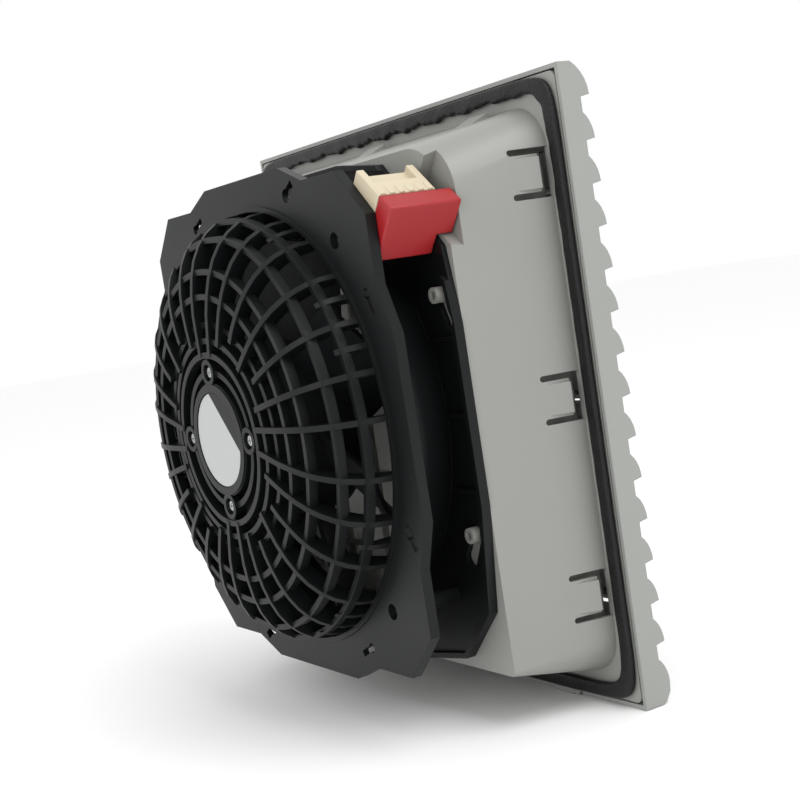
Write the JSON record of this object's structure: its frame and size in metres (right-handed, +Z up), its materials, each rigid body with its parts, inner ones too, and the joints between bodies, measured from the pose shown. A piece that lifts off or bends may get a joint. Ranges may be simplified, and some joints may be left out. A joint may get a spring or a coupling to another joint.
{
  "type": "cabinet filter fan",
  "caption": "Enclosure filter fan with a hinged louvre cover, filter mat, snap-in housing, bayonet fan unit with a domed wire-style plastic guard, and a pull-off connector plug",
  "frame": {"origin": "middle of the panel cut-out, on the gasket face that seats on the panel's outer side", "axes": "+Z up as hung on a cabinet door, +Y along the fan axis into the cabinet, louvre cover towards -Y, +X to the right when looking along +Y"},
  "size_m": [0.323, 0.1519, 0.3232],
  "materials": {
    "grey_housing": "light grey moulded ABS, fine grain",
    "grey_cover": "light grey moulded ABS, satin",
    "foam": "black foamed polyurethane, closed skin",
    "fleece": "white non-woven filter fleece",
    "black_plastic": "black glass-filled polyamide, fine grain",
    "impeller_plastic": "dark grey polyamide",
    "zinc": "zinc plated",
    "steel": "ground bearing and shaft steel",
    "sheet_steel": "drawn and laminated steel sheet",
    "spring_steel": "blued spring steel",
    "cast_aluminium": "die cast, matt",
    "copper_wire": "enamelled copper wire",
    "label": "white film label, left bare",
    "cream_plastic": "cream polyamide",
    "red_plastic": "red polyamide, satin",
    "contact_brass": "brass, tinned bare"
  },
  "bodies": {
    "housing": {"housing": "grey_housing", "gasket": "foam", "filter_grid": "grey_housing", "filter_mat": "fleece", "cover_hinge_pins": "zinc"},
    "cover": {"louvre_cover": "grey_cover"},
    "fan_unit": {"fan_frame": "black_plastic", "guard": "black_plastic", "guard_screws": "zinc", "hub_screws": "zinc", "hub_label": "label", "motor_flange": "cast_aluminium", "stator_core": "sheet_steel", "stator_windings": "copper_wire", "bearing_outer_rings": "steel", "bearing_spring": "spring_steel", "terminal_socket": "cream_plastic", "socket_pins": "contact_brass"},
    "rotor": {"impeller": "impeller_plastic", "rotor_can": "sheet_steel", "rotor_cage": "cast_aluminium", "shaft": "steel", "bearing_inner_rings": "steel", "shaft_circlip": "spring_steel"},
    "plug": {"plug_cap": "red_plastic", "plug_contacts": "contact_brass"}
  },
  "joints": [
    {"name": "cover_hinge", "type": "hinge", "parent": "housing", "child": "cover", "pos_m": [0, -0.0032, -0.1602], "axis": [1, 0, 0], "range_deg": [0, 70]},
    {"name": "fan_bayonet", "type": "hinge", "parent": "housing", "child": "fan_unit", "pos_m": [0, 0.0525, 0], "axis": [0, 1, 0], "range_deg": [0, 6]},
    {"name": "rotor_spin", "type": "hinge", "parent": "fan_unit", "child": "rotor", "pos_m": [0, 0.09, 0], "axis": [0, 1, 0], "continuous": true},
    {"name": "plug_pull", "type": "slide", "parent": "fan_unit", "child": "plug", "axis": [-0.766, 0, -0.6428], "range_m": [0, 0.025]}
  ]
}
